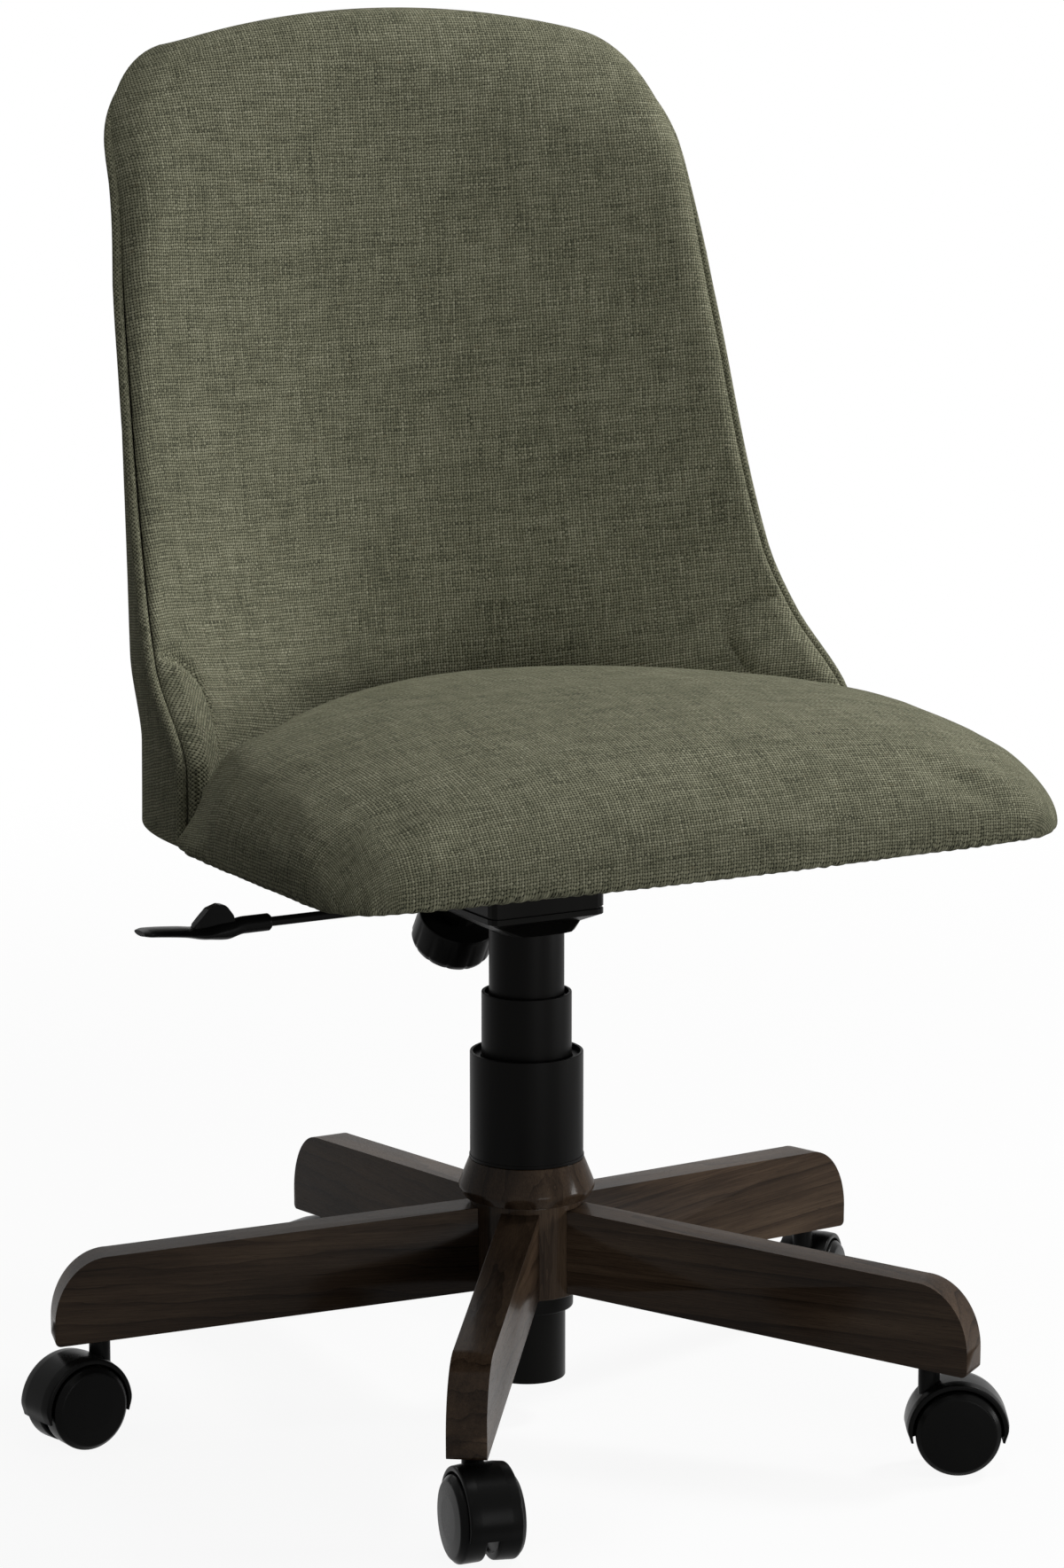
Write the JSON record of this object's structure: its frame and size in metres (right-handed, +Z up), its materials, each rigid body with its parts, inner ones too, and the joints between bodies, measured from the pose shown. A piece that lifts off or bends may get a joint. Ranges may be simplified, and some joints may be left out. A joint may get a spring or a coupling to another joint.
{
  "type": "desk chair",
  "caption": "Armless upholstered desk chair with wrap-round shell back, tilting seat, gas lift with telescopic cover and wooden five-arm base on twin-wheel casters.",
  "frame": {"origin": "on the floor, under the middle of the chair's outline seen from above", "axes": "+Z up, -Y towards the front of the seat, +X towards the sitter's left"},
  "size_m": [0.6244, 0.603, 0.8892],
  "materials": {
    "walnut": "satin lacquer over dark brown walnut",
    "steel": "bright zinc",
    "black_metal": "satin black powder coat",
    "black_plastic": "satin black moulding",
    "olive_fabric": "heathered grey-green basket weave",
    "plywood": "bare plywood, covered",
    "dust_cloth": "black non-woven cloth"
  },
  "bodies": {
    "base": {"hub": "walnut", "collar": "walnut", "hub_ring": "black_metal", "arm_1": "walnut", "arm_2": "walnut", "arm_3": "walnut", "arm_4": "walnut", "arm_5": "walnut", "caster_1_stem": "steel", "caster_2_stem": "steel", "caster_3_stem": "steel", "caster_4_stem": "steel", "caster_5_stem": "steel", "lift_tube": "black_metal", "guide_bush": "black_plastic", "sleeve_lower": "black_plastic"},
    "spindle": {"piston_rod": "steel", "thrust_bearing": "steel", "retaining_clip": "steel"},
    "middle": {"sleeve_middle": "black_plastic"},
    "carriage": {"gas_cylinder": "black_metal", "sleeve_upper": "black_plastic", "mechanism_housing": "black_metal", "pivot_pin": "steel", "tension_spring": "steel"},
    "lever": {"lever_rod": "black_metal", "lever_handle": "black_plastic"},
    "valve": {"valve_button": "steel"},
    "knob": {"tension_knob": "black_plastic", "tension_bolt": "steel"},
    "seat": {"seat_plate": "black_metal", "seat_board": "plywood", "dust_cover": "dust_cloth", "seat_cushion": "olive_fabric", "back_cushion": "olive_fabric", "back_shell": "plywood", "back_panel": "olive_fabric", "back_piping": "olive_fabric"},
    "caster_1": {"caster_1_hood": "black_plastic", "caster_1_axle": "steel"},
    "caster_1_a": {"caster_1_wheel_a": "black_plastic"},
    "caster_1_b": {"caster_1_wheel_b": "black_plastic"},
    "caster_2": {"caster_2_hood": "black_plastic", "caster_2_axle": "steel"},
    "caster_2_a": {"caster_2_wheel_a": "black_plastic"},
    "caster_2_b": {"caster_2_wheel_b": "black_plastic"},
    "caster_3": {"caster_3_hood": "black_plastic", "caster_3_axle": "steel"},
    "caster_3_a": {"caster_3_wheel_a": "black_plastic"},
    "caster_3_b": {"caster_3_wheel_b": "black_plastic"},
    "caster_4": {"caster_4_hood": "black_plastic", "caster_4_axle": "steel"},
    "caster_4_a": {"caster_4_wheel_a": "black_plastic"},
    "caster_4_b": {"caster_4_wheel_b": "black_plastic"},
    "caster_5": {"caster_5_hood": "black_plastic", "caster_5_axle": "steel"},
    "caster_5_a": {"caster_5_wheel_a": "black_plastic"},
    "caster_5_b": {"caster_5_wheel_b": "black_plastic"}
  },
  "joints": [
    {"name": "caster_1_swivel", "type": "hinge", "parent": "base", "child": "caster_1", "pos_m": [0.16524, -0.25024, 0.05], "axis": [0, 0, 1], "continuous": true},
    {"name": "caster_1_wheel_a_spin", "type": "hinge", "parent": "caster_1", "child": "caster_1_a", "pos_m": [0.18072, -0.25882, 0.02667], "axis": [0.4848, 0.8746, 0], "continuous": true},
    {"name": "caster_1_wheel_b_spin", "type": "hinge", "parent": "caster_1", "child": "caster_1_b", "pos_m": [0.18072, -0.25882, 0.02667], "axis": [0.4848, 0.8746, 0], "continuous": true},
    {"name": "caster_2_swivel", "type": "hinge", "parent": "base", "child": "caster_2", "pos_m": [0.2659, 0.05957, 0.05], "axis": [0, 0, 1], "continuous": true},
    {"name": "caster_2_wheel_a_spin", "type": "hinge", "parent": "caster_2", "child": "caster_2_a", "pos_m": [0.27885, 0.07164, 0.02667], "axis": [-0.682, 0.7314, 0], "continuous": true},
    {"name": "caster_2_wheel_b_spin", "type": "hinge", "parent": "caster_2", "child": "caster_2_b", "pos_m": [0.27885, 0.07164, 0.02667], "axis": [-0.682, 0.7314, 0], "continuous": true},
    {"name": "caster_3_swivel", "type": "hinge", "parent": "base", "child": "caster_3", "pos_m": [0.00236, 0.25104, 0.05], "axis": [0, 0, 1], "continuous": true},
    {"name": "caster_3_wheel_a_spin", "type": "hinge", "parent": "caster_3", "child": "caster_3_a", "pos_m": [-0.00512, 0.26708, 0.02667], "axis": [-0.9063, -0.4226, 0], "continuous": true},
    {"name": "caster_3_wheel_b_spin", "type": "hinge", "parent": "caster_3", "child": "caster_3_b", "pos_m": [-0.00512, 0.26708, 0.02667], "axis": [-0.9063, -0.4226, 0], "continuous": true},
    {"name": "caster_4_swivel", "type": "hinge", "parent": "base", "child": "caster_4", "pos_m": [-0.26117, 0.05957, 0.05], "axis": [0, 0, 1], "continuous": true},
    {"name": "caster_4_wheel_a_spin", "type": "hinge", "parent": "caster_4", "child": "caster_4_a", "pos_m": [-0.27874, 0.05741, 0.02667], "axis": [0.1219, -0.9925, 0], "continuous": true},
    {"name": "caster_4_wheel_b_spin", "type": "hinge", "parent": "caster_4", "child": "caster_4_b", "pos_m": [-0.27874, 0.05741, 0.02667], "axis": [0.1219, -0.9925, 0], "continuous": true},
    {"name": "caster_5_swivel", "type": "hinge", "parent": "base", "child": "caster_5", "pos_m": [-0.16051, -0.25024, 0.05], "axis": [0, 0, 1], "continuous": true},
    {"name": "caster_5_wheel_a_spin", "type": "hinge", "parent": "caster_5", "child": "caster_5_a", "pos_m": [-0.16389, -0.26762, 0.02667], "axis": [0.9816, -0.1908, 0], "continuous": true},
    {"name": "caster_5_wheel_b_spin", "type": "hinge", "parent": "caster_5", "child": "caster_5_b", "pos_m": [-0.16389, -0.26762, 0.02667], "axis": [0.9816, -0.1908, 0], "continuous": true},
    {"name": "seat_swivel", "type": "hinge", "parent": "base", "child": "spindle", "pos_m": [0.00236, -0.02606, 0.1], "axis": [0, 0, 1], "continuous": true},
    {"name": "seat_lift", "type": "slide", "parent": "spindle", "child": "carriage", "axis": [0, 0, 1], "range_m": [-0.065, 0.02]},
    {"name": "middle_sleeve_slide", "type": "slide", "parent": "spindle", "child": "middle", "axis": [0, 0, 1], "range_m": [-0.0325, 0.01]},
    {"name": "seat_tilt", "type": "hinge", "parent": "carriage", "child": "seat", "pos_m": [0.00236, -0.04156, 0.3672], "axis": [-1, 0, 0], "range_deg": [0, 12], "stiffness_Nm_per_rad": 90, "springref_deg": -11.46, "deforming": ["tension_spring"]},
    {"name": "lever_lift", "type": "hinge", "parent": "carriage", "child": "lever", "pos_m": [-0.03764, -0.02606, 0.345], "axis": [0, 1, 0], "range_deg": [0, 7], "stiffness_Nm_per_rad": 0.6, "springref_deg": -11.46},
    {"name": "valve_press", "type": "slide", "parent": "carriage", "child": "valve", "axis": [0, 0, 1], "range_m": [-0.0058, 0]},
    {"name": "tension_adjust", "type": "hinge", "parent": "carriage", "child": "knob", "pos_m": [0.00236, 0.07764, 0.289], "axis": [0, -0.515, 0.8572], "range_deg": [-720, 720]}
  ],
  "couplings": [
    {"joint": "middle_sleeve_slide", "follows": "seat_lift", "ratio": 0.5},
    {"joint": "valve_press", "follows": "lever_lift", "m_per_rad": -0.045}
  ]
}
